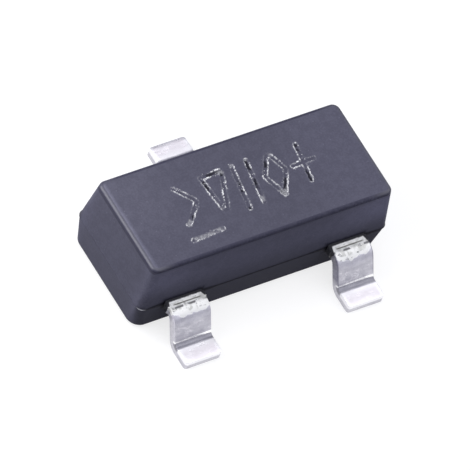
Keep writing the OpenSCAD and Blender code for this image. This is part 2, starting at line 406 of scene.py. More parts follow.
def makeCompound():
    material, tree, shader, place = newMaterial("mouldCompound")
    sideways, across, height = split(place)
    offMiddle, offLine = calc("ABSOLUTE", sideways), calc("ABSOLUTE", across)
    seamHigh, top = bodyShape["partingZ"], bodyHigh.z
    grain = useGroup(grainGroup, place, {"Coarse Scale": 11000})
    specks = useGroup(speckGroup, place, {"Share": 0.18})
    color = mixColor(grain["Mask"], bodyLook["dark"], bodyLook["base"])
    color = layer(color, bodyLook, {"speck": specks["Mask"]})
    spread = spreadIn(bodySpread, mm)
    longWall = spread(offLine, "longWall")
    upperWall = times(spread(height, "upperWallLightPainted", seamHigh), longWall)
    endsLightPainted, onEnd = spread(offMiddle, "endsLightPainted"), spread(offMiddle, "onEnd", bodyHigh.x)
    onTop = spread(height, "onTop", top)
    underTop = away(height, (top - bodySpread["underEdgeDown"]) * mm)

    # Two leads at the front, and one in the middle at the back: the seam's painted shade is
    # wider beside them
    atFront = calc("LESS_THAN", across, 0)
    leadMiddle = (leadLow.x + leadHigh.x) / 2 * mm
    fromLead = calc("ABSOLUTE", plus(times(atFront, leadMiddle), offMiddle))
    fromLead = minus(fromLead, leadShape["width"] / 2 * mm)
    widths = [half * mm for half in bodySpread["seamHalf"]]
    seam = away(height, (seamHigh - bodySpread["seamDown"]) * mm)
    seam = calc("DIVIDE", seam, spread(fromLead, "seamWide", 0, *widths))

    # Painted shade round each lead
    over = minus(height, leadShape["top"] * mm)
    under = minus((leadShape["top"] - leadShape["thick"]) * mm, height)
    widths = [wide * mm for wide in bodySpread["leadShadeWide"]]
    leadShade = calc("DIVIDE", most(fromLead, over, under), ramp(grain["Height"], 0.35, 0.65, *widths))

    color = layer(color, bodyLook, {
        "lowerShadePainted": times(spread(height, "lowerShadePainted", seamHigh), longWall),
        "upperWallLightPainted": upperWall,
        "seamShadePainted": times(spread(height, "seamShadePainted", seamHigh), upperWall),
        "endsLightPainted": times(endsLightPainted, upperWall, spread(height, "endsLightHigh", seamHigh)),
        "rightLightPainted": times(spread(sideways, "rightLightPainted"), spread(height, "paleHigh", seamHigh)),
        "topLightPainted": times(spread(sideways, "topLightPainted"), onTop, spread(across, "paleBack")),
        "cornerSheenPainted": times(spread(offLine, "cornerSheenPainted"), ramp(longWall, 0.6, 0), onEnd),
        "underEdgeShadePainted": times(spread(underTop, "underEdgeShadePainted"), ramp(longWall, 0, 1, 1, 0.15)),
        "leftEdgeHighlightPainted": times(spread(sideways, "leftEdgeHighlightPainted", -bodyHigh.x), onTop),
        "seam": times(ramp(seam, 1, 0.3), ramp(longWall, 0, 1, 0.2)),
        "leadShadePainted": times(ramp(leadShade, 1, 0), longWall),
    }, "MULTIPLY")

    # Rounded edges get a darker colour: partly a rubbed skin, partly painted shade
    edge = attributeValue(tree, "edge")
    rubbedAndShaded = times(edge, ramp(grain["Height"], 0.25, 0.6, 0.35))
    color = layer(color, bodyLook, {"polishedAndShaded": rubbedAndShaded})
    # Painted shade on the rounded edges of the front
    color = layer(color, bodyLook, {"frontEdgeShade": times(edge, longWall, atFront)}, "MULTIPLY")

    # The laser marks: melted grooves, scraped stretches, and frayed rims and spatter, painted
    # near white as glints
    frayed = noiseAt(place, 90000, 2, 0.6)
    scraped = times(attributeValue(tree, "scraped"), ramp(frayed, 0.3, 0.6, 0.35))
    rim = times(attributeValue(tree, "rim"), ramp(frayed, 0.38, 0.5, 0.3))
    dots = useGroup(speckGroup, place, {"Scale": 52000, "Size": 0.34, "Share": 0.16})["Mask"]
    bright = most(rim, times(dots, attributeValue(tree, "spatter")))
    color = layer(color, bodyLook, {
        "flashHighlight": attributeValue(tree, "flashHighlight"), "melted": attributeValue(tree, "etched"),
        "scraped": scraped, "rim": bright})

    rough = ramp(grain["Height"], 0.3, 0.7, 0.56, 0.7)
    coated = times(spread(offMiddle, "coated", 0, 0.05, 0.9), spread(height, "coatedHigh", top))
    fill(shader, {
        "Base Color": color,
        "Roughness": plus(rough, times(edge, -0.26), times(bright, -0.2)),
        "Specular IOR Level": 0.05,
        "Coat Weight": times(rubbedAndShaded, coated),
        "Coat Roughness": 0.3,
        "Coat IOR": 1.7,
        "Normal": bumpFrom(grain["Height"], bodyLook["bump"]),
    })
    return material


tinLook = {
    "bright": (0.63, 0.62, 0.67),
    "dull": (0.49, 0.48, 0.54),
    "scuffed": (0.94, 0.94, 0.93),
    "worn": (0.7, 0.7, 0.68),
    "scratch": (0.22, 0.22, 0.23),
    # a line burnished by the forming tool, painted brighter as a highlight
    "burnishAndHighlight": (1, 1, 1),
    "pressed": (0.92, 0.91, 0.94),
    "lilac": (0.78, 0.745, 0.79),
    "root": (0.97, 0.97, 0.96),
    # painted shade in the clamp line
    "clampLineShade": (0.32, 0.32, 0.3),
    "legLightPainted": (1.18, 1.18, 1.18),  # painted light: a paler patchy band on the leg just past the scuffing
    "heel": (0.45, 0.45, 0.47),  # painted shade inside the foot bend
    "cutSideShade": (0.34, 0.34, 0.4),  # painted shade on the cut sides, more so on the right lead
    # resin film, whose near black is also painted shade at each lead's root
    "resinAndShade": (0.02, 0.02, 0.027),
    "copper": (0.82, 0.5, 0.35),  # bare strip inside the body
    "silver": (0.8, 0.79, 0.76),  # plated where the wires and the die are bonded
    "bump": 1e-6,
}


# The strip's own coordinates are kept from the flat blank: across, along, and up
def makeTin():
    material, tree, shader, place = newMaterial("tinPlating")
    sideways = split(place)[0]
    strip = attributeValue(tree, "stripPlace", "Vector")
    across, along, up = split(strip)
    offMiddle = calc("ABSOLUTE", across)
    upper = ramp(up, 0, 0.02)
    bendStart, *_, flatLength = formedSizes()[1]
    footStart = flatLength - tinSpread["footLong"]
    clampAt = bodyHigh.y + leadShape["clampOut"]
    spread = spreadIn(tinSpread)

    def paint(name, mask, blend="MIX"):
        nonlocal color
        color = mixColor(mask, color, tinLook[name], blend)

    def patchy(low, high, least=0):
        return ramp(uneven, low, high, least, 1)

    level = times(calc("ROUND", calc("DIVIDE", sideways, mm)), tinSpread["levelStep"])
    own = vectorCalc("ADD", strip, upright(level))
    uneven = noiseAt(own, 11, 3)
    towardsRight = [value * mm for value in tinSpread["towardsRight"]]
    grain = useGroup(grainGroup, place, {
        "Fine Scale": 60000, "Coarse Scale": 12000, "Coarse Share": 0.5})
    streaks = useGroup(streakGroup, own, {"Stretch": (7, 26, 20)})["Mask"]
    dull = calc("ADD", times(streaks, 0.45), times(grain["Mask"], 0.4), clamp=True)
    color = mixColor(dull, tinLook["bright"], tinLook["dull"])

    # The clamp scuffs the shoulder, down to an uneven bow-shaped line
    line = plus(along, times(across, across, 0.7), times(uneven, 0.09))
    scuffEnd = bendStart + tinSpread["scuffBelowBend"]
    scuff = times(spread(line, "scuffEdge", scuffEnd), upper)
    mottle = times(ramp(noiseAt(own, 19, 3), 0.42, 0.6), spread(line, "mottle", scuffEnd))
    color = mixColor(scuff, color, mixColor(mottle, tinLook["scuffed"], tinLook["worn"]))
    # Painted light on the leg just past the scuffing
    below = times(spread(line, "belowEnd", scuffEnd), spread(line, "belowStart", scuffEnd))
    paint("legLightPainted", times(below, patchy(0.3, 0.55, 0.4), upper), "MULTIPLY")
    scratches = noiseAt(vectorCalc("MULTIPLY", own, (17, 42, 17)), 1, 4, 0.7)
    second = spread(away(along, clampAt + tinSpread["secondClamp"]), "secondWide")
    second = times(second, patchy(0.46, 0.54))
    scratch = times(most(times(ramp(scratches, 0.58, 0.68), 0.8), second), scuff)
    paint("scratch", scratch)

    # The short root between the body and the clamp line is duller
    root = times(spread(along, "root", clampAt), ramp(uneven, 0.3, 0.6, 1, 0.5))
    paint("root", root)

    # Up to the bend the scuffing is matte, with painted shade in the clamp line
    matte = spread(along, "matte", bendStart)
    clampLineDark = spread(away(along, clampAt + tinSpread["clampShadeOff"]), "clampWide")
    paint("clampLineShade", times(clampLineDark, spread(offMiddle, "clampReach"), upper), "MULTIPLY")

    # A line where the forming tool's edge bears above the foot, burnished and painted brighter
    # as a highlight, harder on one side
    harder = ramp(across, -0.24, 0.2, 0.75, 1.6)
    bearingHighlight = calc("DIVIDE", away(along, tinSpread["bearingHighlight"]), harder)
    bearingHighlight = times(spread(bearingHighlight, "bearingWide"), patchy(0.3, 0.52, 0.75), upper)
    paint("burnishAndHighlight", bearingHighlight)

    # The press leaves the foot bright, with a softer patch in its middle
    onFoot = spread(along, "footEdge", footStart)
    paint("pressed", times(onFoot, upper))
    patch = times(spread(offMiddle, "patchReach"), onFoot, spread(along, "patchEnd", flatLength),
                  spread(along, "patchStart", footStart, 0.3))
    paint("lilac", times(patch, patchy(0.3, 0.5, 0.75), upper))
    pits = useGroup(speckGroup, place, {"Scale": 7000, "Size": 0.13, "Share": 0.22})["Mask"]
    paint("scratch", times(pits, ramp(onFoot, 0, 1, 0.7, 0.15)))

    # Painted shade inside the foot bend
    paint("heel", times(spread(along, "heelStart"), spread(along, "heelEnd"), upper), "MULTIPLY")

    # Painted shade on the cut sides, more towards the right end of the part and less at the foot
    cutSide = times(spread(offMiddle, "cutSide"), ramp(sideways, *towardsRight),
                    spread(along, "cutSideShadeEnd", 0, 0.15))
    paint("cutSideShade", times(cutSide, patchy(0.3, 0.6, 0.6)), "MULTIPLY")

    # A film of resin bleeds a short way out of the body, with a ragged edge; its near black also
    # paints the shade at each lead's root
    reach = times(noiseAt(own, 38, 3), tinSpread["bleedRagged"])
    more = ramp(sideways, *towardsRight, *tinSpread["bleedMore"])
    reach = plus(reach, bodyHigh.y + tinSpread["bleedEnd"],
                 times(spread(offMiddle, "bleedSide"), more))
    covered = spread(along, "copperEnd", bodyHigh.y)
    resinAndShade = times(spread(minus(along, reach), "resinEdge"), covered)
    paint("resinAndShade", resinAndShade)

    # Inside the body the strip is bare, and silvered where it is bonded
    silver = spread(plus(times(uneven, 0.03), along), "silverEnd", bodyHigh.y)
    bare = mixColor(silver, tinLook["copper"], tinLook["silver"])
    bare = mixColor(times(dull, 0.5), bare, tinLook["dull"], "MULTIPLY")
    color = mixColor(minus(1, covered), color, bare)

    bent = times(spread(along, "bentStart", bendStart), spread(along, "bentEnd", bendStart))
    rough = plus(ramp(grain["Height"], 0.3, 0.7, 0.22, 0.32), times(dull, 0.12),
                 times(scuff, 0.12), times(root, 0.38), times(bent, 0.22))
    height = plus(grain["Height"], times(streaks, 0.25), times(scratch, -1.5))
    fill(shader, {
        "Base Color": color,
        "Metallic": times(plus(times(matte, covered, -0.95), 1), minus(1, resinAndShade)),
        "Roughness": calc("SUBTRACT", rough, times(bearingHighlight, 0.2), clamp=True),
        "Normal": bumpFrom(height, tinLook["bump"]),
    })
    return material


innerLook = {
    "silicon": (0.105, 0.11, 0.15),
    "block": (0.2, 0.21, 0.26),
    "track": (0.46, 0.44, 0.4),
    "adhesive": (0.5, 0.5, 0.49),
    "flake": (0.78, 0.78, 0.77),
    "gold": (0.95, 0.7, 0.27),
    "drawn": (0.78, 0.52, 0.16),
    "bump": 8e-7,
}


# Sawn silicon: blocks of circuit in several shades, with thin metal tracks between them
def makeSilicon():
    material, tree, shader, place = newMaterial("sawnSilicon")
    top = boxInMm("die")[1].z
    onTop = ramp(split(place)[2], (top - 0.003) * mm, (top - 0.001) * mm)
    blocks = addNode(tree, "ShaderNodeTexVoronoi", {
        "Vector": place, "Scale": 14000, "Randomness": 0.75}, distance="CHEBYCHEV").outputs
    shade = addNode(tree, "ShaderNodeSeparateColor", {"Color": blocks["Color"]}).outputs[0]
    border = times(ramp(blocks["Distance"], 0.42, 0.5), onTop)
    saw = useGroup(streakGroup, place, {"Stretch": (6000, 6000, 90000)})["Mask"]
    color = mixColor(times(shade, onTop), innerLook["silicon"], innerLook["block"])
    color = mixColor(times(border, 0.8), color, innerLook["track"])
    color = mixColor(times(saw, 0.25), color, innerLook["block"])
    fill(shader, {
        "Base Color": color,
        "Roughness": ramp(saw, 0, 1, 0.16, 0.34),
        "Metallic": ramp(border, 0, 1, 0.15, 0.85),
        "Normal": bumpFrom(saw, innerLook["bump"]),
    })
    return material


# Adhesive filled with silver flakes
def makeAdhesive():
    material, _, shader, place = newMaterial("silverAdhesive")
    flakes = useGroup(speckGroup, place, {"Scale": 90000, "Size": 0.5, "Share": 0.55})["Mask"]
    grain = useGroup(grainGroup, place, {"Fine Scale": 70000})["Height"]
    fill(shader, {
        "Base Color": mixColor(flakes, innerLook["adhesive"], innerLook["flake"]),
        "Metallic": times(flakes, 0.8),
        "Roughness": ramp(grain, 0.3, 0.7, 0.4, 0.6),
        "Normal": bumpFrom(grain, innerLook["bump"]),
    })
    return material


def makeGold():
    material, _, shader, place = newMaterial("drawnGold")
    grain = useGroup(grainGroup, place, {
        "Fine Scale": 160000, "Coarse Scale": 40000, "Coarse Share": 0.5})
    fill(shader, {
        "Base Color": mixColor(grain["Mask"], innerLook["drawn"], innerLook["gold"]),
        "Metallic": 1,
        "Roughness": ramp(grain["Height"], 0.3, 0.7, 0.16, 0.32),
        "Normal": bumpFrom(grain["Height"], innerLook["bump"], 0.6),
    })
    return material


def dressNode(name, material):
    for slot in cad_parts[name].material_slots:
        slot.material = material


# The moulded body

bodyLow, bodyHigh = boxInMm("mould_body")
leadLow, leadHigh = boxInMm("lead_1")

bodyShape = {
    "partingZ": leadHigh.z - 0.035,  # the strip's top face stands a little above this plane
    "upperDraft": 5.5,
    "lowerDraft": 4.5,
    "cornerRadius": 0.08,
    "undersideRadius": 0.14,
    "topRadius": 0.034,  # the top edge is worn rounder than the mould leaves it
    "edgeRadius": 0.025,
    "edgeSteps": 8,
    "cornerSteps": 16,
    "hold": 0.01,  # distance of the loops that keep flat faces flat
    "seamOut": 0.004,  # flash left along the parting line
    "seamHalf": 0.006,
    "cornerFlash": 0.008,  # it is uneven, and wider at the corners
    "flashScale": 12,
    "flashLevel": 7.5,
    "flashGain": 2.4,
    "flashLess": 0.3,
    "flashFade": 6,
    "markHalf": (1.02, 0.44),  # half size of the fine grid under the marks
    "markStep": 0.0068,
    "markMiddle": (0.03, -0.03),
}


# How far the drafted wall stands in from the parting outline, at a height
def wallIn(z):
    s = bodyShape
    draft = s["upperDraft"] if z > s["partingZ"] else s["lowerDraft"]
    return abs(z - s["partingZ"]) * tan(radians(draft))


# The wall in section, from the underside up: distance in from the outline and height, with 1
# where an edge is rounded
def wallProfile():
    s = bodyShape
    top, bottom = bodyHigh.z, bodyLow.z
    seam = Vector((0, s["partingZ"]))
    lowEdge, highEdge = Vector((wallIn(bottom), bottom)), Vector((wallIn(top), top))
    lower = cornerArc(Vector((1, bottom)), lowEdge, seam, s["edgeRadius"], s["edgeSteps"])
    upper = cornerArc(seam, highEdge, Vector((1, top)), s["topRadius"], s["edgeSteps"])
    up, down = (highEdge - seam).normalized(), (lowEdge - seam).normalized()
    hold, half = s["hold"], s["seamHalf"]
    flat = [lower[-1] - down * hold, seam + down * (half + hold), seam + down * half,
            seam - Vector((s["seamOut"], 0)), seam + up * half, seam + up * (half + hold),
            upper[0] - up * hold]
    points = [(lower[0] + Vector((hold, 0)), 0)] + [(p, 1) for p in lower]
    points += [(p, 0) for p in flat] + [(p, 1) for p in upper]
    return points + [(upper[-1] + Vector((hold, 0)), 0)]


def cornerAt(z):
    s = bodyShape
    if z > s["partingZ"]:
        return s["cornerRadius"]
    share = (s["partingZ"] - z) / (s["partingZ"] - bodyLow.z)
    return s["cornerRadius"] + (s["undersideRadius"] - s["cornerRadius"]) * share


# How far the uneven flash stands out at a point of a corner, as a share of the most
def flashAt(p, turned):
    s = bodyShape
    value = noise.noise(Vector((p.x * s["flashScale"], p.y * s["flashScale"], s["flashLevel"])))
    share = s["flashGain"] * value - s["flashLess"]
    faded = min(1, s["flashFade"] * turned, s["flashFade"] * (1 - turned))
    return min(1, max(0, share)) * faded


# Outline of the body at one point of its wall, anticlockwise from above
def bodyRing(work, inset, z):
    s = bodyShape
    radius = cornerAt(z) - (inset - wallIn(z))
    middle = Vector((bodyHigh.x - inset - radius, bodyHigh.y - inset - radius))
    flashLayer = work.verts.layers.float["flashHighlight"]
    verts = []
    for quarter, (sx, sy) in enumerate(((1, 1), (-1, 1), (-1, -1), (1, -1))):
        center = Vector((sx * middle.x, sy * middle.y))
        arc = []
        for i in range(s["cornerSteps"] + 1):
            a = radians(90 * (quarter + i / s["cornerSteps"]))
            arc.append(Vector((center.x + radius * cos(a), center.y + radius * sin(a))))
        shares = [0] * len(arc)
        if inset < 0:
            shares = [flashAt(p, i / s["cornerSteps"]) for i, p in enumerate(arc)]
            arc = [p + (p - center).normalized() * share * s["cornerFlash"]
                   for p, share in zip(arc, shares)]
        start = radians(90 * quarter)
        along = Vector((-sin(start), cos(start)))
        arc.insert(0, arc[0] - along * s["hold"])
        arc.append(arc[-1] + Vector((-along.y, along.x)) * s["hold"])
        for p, share in zip(arc, [0] + shares + [0]):
            vert = work.verts.new((p.x, p.y, z))
            vert[flashLayer] = share
            verts.append(vert)
    return verts


# Quads between two rows of vertices
def bridge(work, low, high):
    for corners in zip(low, low[1:], high[1:], high):
        work.faces.new(corners)


# Fills the top with a fine grid where the marks go, and plain faces round it
def fillTop(work, ring, z):
    s = bodyShape
    spans = []
    for half, middle in zip(s["markHalf"], s["markMiddle"]):
        count = round(2 * half / s["markStep"])
        spans.append([middle + half * (2 * i / count - 1) for i in range(count + 1)])
    grid = [[work.verts.new((x, y, z)) for x in spans[0]] for y in spans[1]]
    for low, high in zip(grid, grid[1:]):
        bridge(work, low, high)
    border = grid[0][:-1] + [row[-1] for row in grid[:-1]]
    border += grid[-1][:0:-1] + [row[0] for row in grid[:0:-1]]
    edges = []
    for loop in (ring, border):
        for a, b in zip(loop, loop[1:] + loop[:1]):
            edges.append(work.edges.get((a, b)) or work.edges.new((a, b)))
    bmesh.ops.triangle_fill(work, use_beauty=True, edges=edges)


def buildBlock():
    work = bmesh.new()
    work.verts.layers.float.new("flashHighlight")
    edgeLayer = work.verts.layers.float.new("edge")
    rings = []
    for point, rounding in wallProfile():
        ring = bodyRing(work, point.x, point.y)
        for vert in ring:
            vert[edgeLayer] = rounding
        rings.append(ring)
    for low, high in zip(rings, rings[1:]):
        bridge(work, low + low[:1], high + high[:1])
    work.faces.new(rings[0][::-1])
    fillTop(work, rings[-1], bodyHigh.z)
    bmesh.ops.recalc_face_normals(work, faces=work.faces)
    return meshObject("moulded_body", work)


# Marks burnt into the top face by a laser: a row of plain shapes

markLayout = {
    "firstX": -0.64,
    "pitch": 0.335,
    "size": (0.25, 0.5),
    "middleY": 0.02,
    "lean": 0.1,
    "turn": 3,
}

markShapes = [
    [[(-0.9, 1), (0.6, 0.15), (-0.9, -0.7)], [(-1.1, -1.4), (1.7, -1.4)]],
    [[(-1, 1), (1, 1), (0, -1), (-1, 1)]],
    [[(-0.7, -1), (-0.7, 1)], [(0.7, -1), (0.7, 1)]],
    [[(0, -1), (1, 0), (0, 1), (-1, 0), (0, -1)]],
    [[(-1, 0), (1, 0)], [(0, -0.85), (0, 0.85)]],
]


def drawStrokes():
    curve = bpy.data.curves.new("strokes", "CURVE")
    curve.dimensions = "3D"
    s = markLayout
    turn = Matrix.Rotation(radians(s["turn"]), 2)
    for index, shape in enumerate(markShapes):
        for stroke in shape:
            spline = curve.splines.new("POLY")
            spline.points.add(len(stroke) - 1)
            for point, (u, v) in zip(spline.points, stroke):
                x = s["firstX"] + index * s["pitch"]
                x += u * s["size"][0] / 2 + v * s["lean"] / 2
                place = turn @ Vector((x, v * s["size"][1] / 2))
                point.co = (place.x, place.y + s["middleY"], bodyHigh.z, 1)
    return newObject("strokes", curve)


glintSide = (0.45, -0.89, 0)  # the way that the rims with the stronger painted glint look

etchSettings = {
    "Half Width": 0.022,
    "Corner Radius": 0.025,
    "Depth": 0.008,
    "Rim Height": 0.006,
    "Ragged": 1.1,
    "Seed": 21.0,
}


# Burns each stroke into the top: a shallow groove with deeper pits, scraped stretches, and a
# frayed rim that is stronger along one side, painted near white as a glint
def makeEtchTree():
    tree, source = newGeometryTree("laserEtch", {"Strokes": "Object"}, etchSettings)
    place = addNode(tree, "GeometryNodeInputPosition").outputs[0]

    # Noise for the strokes, each time from another level above the seed
    def seeded(scale, level, detail=2):
        moved = vectorCalc("ADD", place, upright(plus(source["Seed"], level)))
        return noiseAt(moved, scale, detail)

    strokes = addNode(tree, "GeometryNodeObjectInfo", {"Object": source["Strokes"]})
    rounded = addNode(tree, "GeometryNodeFilletCurve", {
        "Curve": strokes.outputs["Geometry"], "Radius": source["Corner Radius"],
        "Limit Radius": True, "Count": 6}, mode="POLY")
    lines = addNode(tree, "GeometryNodeCurveToMesh", {"Curve": rounded.outputs[0]})
    near = addNode(tree, "GeometryNodeProximity", {"Geometry": lines.outputs[0]},
                   target_element="EDGES").outputs
    way = vectorCalc("NORMALIZE", vectorCalc("SUBTRACT", place, near["Position"]))
    side = vectorCalc("DOT_PRODUCT", way, glintSide)

    # Distance from the stroke as a share of its half width, made uneven
    wobble = times(minus(seeded(26, 0, 3), 0.5), source["Ragged"])
    share = plus(calc("DIVIDE", near["Distance"], source["Half Width"]), wobble)
    groove = ramp(share, 0.95, 0.45)
    pit = times(groove, ramp(seeded(7, 23), 0.57, 0.62))
    scraped = times(ramp(share, 1.1, 0.6), ramp(seeded(4.5, 11), 0.55, 0.61),
                    ramp(seeded(48, 19), 0.3, 0.55, 0.3))
    # The side of a stroke where the rim and its painted glint are stronger, flipping from
    # stretch to stretch
    facing = times(side, ramp(minus(seeded(3.5, 53), 0.5), -0.06, 0.1, -0.8, 1))
    rim = times(ramp(share, 0.65, 0.95), ramp(share, 1.6, 1.15),
                ramp(facing, -0.35, 0.25, 0.1),
                ramp(seeded(9, 31, 3), 0.38, 0.48, 0.15),
                ramp(seeded(55, 47), 0.42, 0.54, 0.1))
    spatter = ramp(share, 2.4, 0.9)

    dark = most(times(groove, 0.12), pit)
    down = times(most(times(groove, 0.35), pit), source["Depth"])
    offset = upright(minus(times(rim, source["Rim Height"]), down))
    onTop = calc("GREATER_THAN", split(place)[2], bodyHigh.z - 0.0005)
    geometry = source["Geometry"]
    masks = {"etched": dark, "scraped": scraped, "rim": rim, "spatter": spatter}
    for label, mask in masks.items():
        geometry = addNode(tree, "GeometryNodeStoreNamedAttribute", {
            "Geometry": geometry, "Name": label, "Value": times(mask, onTop)},
            data_type="FLOAT", domain="POINT").outputs[0]
    return endTree(tree, source["Material"], {
        "Geometry": geometry, "Selection": onTop, "Offset": offset})


# The leads: each blank is stamped flat and then formed

leadShape = {
    "width": 0.42,
    "thick": 0.1,
    "top": leadHigh.z,
    "toe": -leadLow.y,
    "shoulder": 0.09,
    "shoulderRadius": 0.06,
    "footRadius": 0.04,
    "angle": 63,
    "toeRadius": 0.03,
    "stubOut": 0.012,  # what is left of the tie bars
    "stubLong": 0.07,
    "stubRadius": 0.004,
    "clampOut": 0.06,
    "clampWidth": 0.026,
    "clampDepth": 0.008,
    "clampReach": 0.155,  # half of the line's length, and how its ends fade out
    "clampFade": 0.02,
    "roll": 0.016,  # rounding that the punch leaves on the upper edges
    "burr": 0.004,
    "stampRadius": 0.04,
    "lockRadius": 0.05,
    "postCover": 0.2,
    "postWide": 0.6,
    "holeWide": 0.14,
    "bendSteps": 14,
    "legSteps": 4,
    "heelSteps": 4,
    "clampSteps": 4,
    "notchSteps": 10,
    "cornerSteps": 5,
    "holeSteps": 48,
    "edgeAngle": 60,  # edges sharper than this are rounded
    "heelHalf": 0.014,  # line that the forming tool presses in above the foot
    "heelDepth": 0.002,
    "heelPast": 0.018,  # how far past the start of the foot bend it runs
}

# Where a mark on the plating ends and where it is full, along the strip or off its middle line
tinSpread = {
    "levelStep": 3.7,  # each lead takes its marks from another level of the noise
    "towardsRight": (-0.6, 0.7),  # across the whole part
    "scuffBelowBend": 0.133,  # how far past the start of the bend the scuffing runs
    "scuffEdge": (0.007, -0.007),  # from the scuffing's end, like the next three
    "mottle": (-0.025, -0.045),
    "belowEnd": (0.1, 0.04),
    "belowStart": (-0.01, 0),
    "root": (-0.008, -0.02),  # from the clamp line, like the next two
    "clampShadeOff": 0.008,
    "secondClamp": 0.04,
    "clampWide": (0.013, 0.004),
    "clampReach": (0.175, 0.135),
    "secondWide": (0.012, 0.003),
    "matte": (0.015, -0.005),  # from the start of the bend, like the next two
    "bentStart": (0, 0.05),
    "bentEnd": (0.19, 0.11),
    "bearingHighlight": 1.056,
    "bearingWide": (0.016, 0.008),
    "footLong": 0.165,
    "footEdge": (-0.02, 0),  # from the start of the foot, like the next one
    "patchStart": (0, 0.07),
    "patchEnd": (0, -0.02),  # from the toe
    "patchReach": (0.2, 0.16),
    "heelStart": (1.07, 1.086),
    "heelEnd": (1.196, 1.166),
    "cutSide": (0.196, 0.207),
    "cutSideShadeEnd": (1.1, 0.98),
    "bleedEnd": 0.018,  # how far the resin film, also painted shade, runs out of the body
    "bleedRagged": 0.016,
    "bleedSide": (0.18, 0.206),
    "bleedMore": (0.048, 0.075),  # how much farther on the cut sides, from left to right
    "resinEdge": (0.006, -0.006),
    "copperEnd": (-0.03, -0.026),  # from the body's side, like the next one
    "silverEnd": (-0.236, -0.244),
}


# Inputs of the bends, and where the stretches of the flat strip end
def formedSizes():
    s = leadShape
    angle = radians(s["angle"])
    bendRadius = s["shoulderRadius"] + s["thick"] / 2
    footRadius = s["footRadius"] + s["thick"] / 2
    radii = bendRadius + footRadius
    middle = s["top"] - s["thick"] / 2
    drop = middle - s["thick"] / 2 - radii * (1 - cos(angle))
    leg = drop / sin(angle)
    start = bodyHigh.y + s["shoulder"]
    bendEnd = start + bendRadius * angle
    footStart = bendEnd + leg
    footEnd = footStart + footRadius * angle
    flatLength = footEnd + s["toe"] - start - radii * sin(angle) - leg * cos(angle)
    sizes = {"Bend Start": start, "Bend Radius": bendRadius, "Foot Radius": footRadius,
             "Leg Angle": angle, "Leg Length": leg, "Strip Middle": middle}
    return sizes, (start, bendEnd, footStart, footEnd, flatLength)


# Half outline from the wide inner end to the toe, mirrored for the other half
def blankOutline(wide, inner, outer, flatLength):
    s = leadShape
    half = s["width"] / 2
    stubMiddle = bodyHigh.y + s["shoulder"] / 2
    stubStart, stubEnd = stubMiddle - s["stubLong"] / 2, stubMiddle + s["stubLong"] / 2
    lock = bodyHigh.y - s["postCover"] / 2
    side = [(wide, inner, s["stampRadius"]), (wide, outer, s["stampRadius"]),
            (half, outer, s["stampRadius"])]
    steps = s["notchSteps"]
    for i in range(steps + 1):  # notch that locks the lead in the compound
        a = pi * (i / steps - 0.5)
        side.append((half - s["lockRadius"] * cos(a), lock + s["lockRadius"] * sin(a), 0))
    stub = half + s["stubOut"]
    side += [(half, stubStart, 0), (stub, stubStart, s["stubRadius"]),
             (stub, stubEnd, s["stubRadius"]), (half, stubEnd, 0),
             (half, flatLength, s["toeRadius"])]
    other = [(-x, y, radius) for x, y, radius in reversed(side)]
    return roundedOutline(side + other, s["cornerSteps"])


# Places along the strip where it is cut into bands, so that it can bend
def bandPlaces(start, bendEnd, footStart, footEnd, flatLength):
    s = leadShape
    clamp = bodyHigh.y + s["clampOut"]
    half = s["clampWidth"] / 2

    def between(low, high, steps):
        return [low + (high - low) * i / steps for i in range(steps + 1)]

    places = [bodyHigh.y] + between(clamp - half, clamp + half, s["clampSteps"])
    places += [footStart + s["heelHalf"] * (i + 0.5) / s["heelSteps"]
               for i in range(-1, 2 * s["heelSteps"])]
    places += between(start, bendEnd, s["bendSteps"])
    places += between(bendEnd, footStart, s["legSteps"])[1:-1]
    places += between(footStart, footEnd, s["bendSteps"])
    return places + between(footEnd, flatLength, s["legSteps"])[1:-1]


def cutAcross(work, place, way):
    bmesh.ops.bisect_plane(work, geom=work.verts[:] + work.edges[:] + work.faces[:],
                           dist=1e-6, plane_co=place, plane_no=way)


def stampBlank(name, wide, inner, outer, hole=None):
    s = leadShape
    ends = formedSizes()[1]
    work = bmesh.new()
    points = blankOutline(wide, inner, outer, ends[-1])
    face = work.faces.new([work.verts.new((p.x, p.y, -s["thick"] / 2)) for p in points])
    made = bmesh.ops.extrude_face_region(work, geom=[face])["geom"]
    raised = [v for v in made if isinstance(v, bmesh.types.BMVert)]
    bmesh.ops.translate(work, verts=raised, vec=(0, 0, s["thick"]))
    bmesh.ops.recalc_face_normals(work, faces=work.faces)
    for sign, size, segments in ((1, s["roll"], 4), (-1, s["burr"], 2)):
        edges = [e for e in work.edges if len(e.link_faces) == 2
                 and all(v.co.z * sign > s["thick"] * 0.49 for v in e.verts)
                 and e.calc_face_angle() > radians(s["edgeAngle"])]
        bmesh.ops.bevel(work, geom=edges, offset=size, segments=segments, profile=0.5,
                        affect="EDGES", clamp_overlap=True)
    for place in bandPlaces(*ends):
        cutAcross(work, (0, place, 0), (0, 1, 0))
    for i in (-3, -2, -1, 1, 2, 3):  # and three times near each end of the clamp line
        place = copysign(s["clampReach"] + s["clampFade"] * (abs(i) - 2), i)
        cutAcross(work, (place, 0, 0), (1, 0, 0))
    lead = meshObject(name, work)
    if hole:
        drill = bmesh.new()
        radius = s["holeWide"] / 2
        bmesh.ops.create_cone(drill, cap_ends=True, segments=s["holeSteps"], radius1=radius,
                              radius2=radius, depth=4 * s["thick"],
                              matrix=Matrix.Translation((*hole, 0)))
        subtract(lead, meshObject("drill", drill))
    return lead


# Inputs of the forming: the bends, and the two lines that the tools press in
def formSettings():
    s = leadShape
    sizes, (_, _, footStart, _, _) = formedSizes()
    return {
        **sizes, "Clamp Place": bodyHigh.y + s["clampOut"], "Clamp Half": s["clampWidth"] / 2,
        "Clamp Size": s["clampDepth"], "Clamp Reach": s["clampReach"],
        "Clamp Fade": s["clampFade"], "Heel Place": footStart + s["heelPast"],
        "Heel Half": s["heelHalf"], "Heel Size": s["heelDepth"]}


